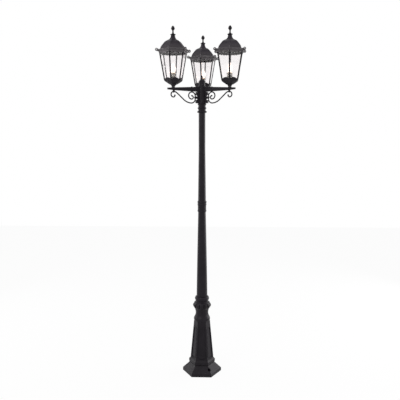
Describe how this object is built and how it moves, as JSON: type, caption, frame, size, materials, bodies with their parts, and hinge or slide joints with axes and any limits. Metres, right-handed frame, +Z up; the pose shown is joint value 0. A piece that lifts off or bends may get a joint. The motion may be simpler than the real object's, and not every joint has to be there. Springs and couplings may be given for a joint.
{
  "type": "lamp post",
  "caption": "Tall garden lamp post with tapered round columns on a six-sided pedestal, and glazed six-sided lanterns on scroll-braced arms.",
  "frame": {"origin": "centre of the plinth's underside, on the ground", "axes": "+Z up along the column; +Y along the rear arm, so the front of the post faces -Y between the other two arms"},
  "size_m": [0.5787, 0.5473, 2.3321],
  "materials": {
    "cast_black": "satin black powder coat on cast and drawn aluminium",
    "wrought_black": "satin black powder coat on bent steel bar",
    "black_screws": "black-coated steel",
    "plated_steel": "zinc-plated",
    "brass": "plain, slightly dull",
    "connector_plastic": "matte",
    "porcelain": "glazed, off-white",
    "clear_glass": "clear, slightly seeded",
    "bulb_glass": "clear, warm"
  },
  "bodies": {
    "post": {"base_plinth": "cast_black", "pedestal": "cast_black", "socket_bolts": "plated_steel", "pedestal_crown": "cast_black", "lower_column": "cast_black", "column_joiner": "plated_steel", "mid_collar": "cast_black", "upper_column": "cast_black", "top_collar": "cast_black", "hub": "cast_black", "hub_cap": "cast_black", "terminal_block": "connector_plastic", "grub_screws": "black_screws", "arm_screws": "black_screws", "scroll_screws": "black_screws", "nipples": "brass", "lock_nuts": "plated_steel", "arm_left": "cast_black", "scroll_left": "wrought_black", "left_lampholder": "porcelain", "left_contacts": "brass", "arm_rear": "cast_black", "scroll_rear": "wrought_black", "rear_lampholder": "porcelain", "rear_contacts": "brass", "arm_right": "cast_black", "scroll_right": "wrought_black", "right_lampholder": "porcelain", "right_contacts": "brass"},
    "lantern_left": {"left_cup": "cast_black", "left_cage": "cast_black", "left_gallery": "cast_black", "left_panes": "clear_glass", "left_floor_plate": "cast_black", "left_roof_screws": "black_screws"},
    "roof_left": {"left_roof": "cast_black", "left_finial": "cast_black"},
    "bulb_left": {"left_bulb_glass": "bulb_glass", "left_bulb_cap": "brass"},
    "lantern_rear": {"rear_cup": "cast_black", "rear_cage": "cast_black", "rear_gallery": "cast_black", "rear_panes": "clear_glass", "rear_floor_plate": "cast_black", "rear_roof_screws": "black_screws"},
    "roof_rear": {"rear_roof": "cast_black", "rear_finial": "cast_black"},
    "bulb_rear": {"rear_bulb_glass": "bulb_glass", "rear_bulb_cap": "brass"},
    "lantern_right": {"right_cup": "cast_black", "right_cage": "cast_black", "right_gallery": "cast_black", "right_panes": "clear_glass", "right_floor_plate": "cast_black", "right_roof_screws": "black_screws"},
    "roof_right": {"right_roof": "cast_black", "right_finial": "cast_black"},
    "bulb_right": {"right_bulb_glass": "bulb_glass", "right_bulb_cap": "brass"}
  },
  "joints": [
    {"name": "lantern_left_swivel", "type": "hinge", "parent": "post", "child": "lantern_left", "pos_m": [-0.181, -0.1045, 1.9541], "axis": [0, 0, 1], "range_deg": [-150, 150]},
    {"name": "roof_left_lift", "type": "slide", "parent": "lantern_left", "child": "roof_left", "axis": [0, 0, 1], "range_m": [0, 0.14]},
    {"name": "bulb_left_turn", "type": "hinge", "parent": "post", "child": "bulb_left", "pos_m": [-0.181, -0.1045, 2.02], "axis": [0, 0, 1], "range_deg": [0, 900]},
    {"name": "lantern_rear_swivel", "type": "hinge", "parent": "post", "child": "lantern_rear", "pos_m": [0, 0.209, 1.9541], "axis": [0, 0, 1], "range_deg": [-150, 150]},
    {"name": "roof_rear_lift", "type": "slide", "parent": "lantern_rear", "child": "roof_rear", "axis": [0, 0, 1], "range_m": [0, 0.14]},
    {"name": "bulb_rear_turn", "type": "hinge", "parent": "post", "child": "bulb_rear", "pos_m": [0, 0.209, 2.02], "axis": [0, 0, 1], "range_deg": [0, 900]},
    {"name": "lantern_right_swivel", "type": "hinge", "parent": "post", "child": "lantern_right", "pos_m": [0.181, -0.1045, 1.9541], "axis": [0, 0, 1], "range_deg": [-150, 150]},
    {"name": "roof_right_lift", "type": "slide", "parent": "lantern_right", "child": "roof_right", "axis": [0, 0, 1], "range_m": [0, 0.14]},
    {"name": "bulb_right_turn", "type": "hinge", "parent": "post", "child": "bulb_right", "pos_m": [0.181, -0.1045, 2.02], "axis": [0, 0, 1], "range_deg": [0, 900]}
  ]
}
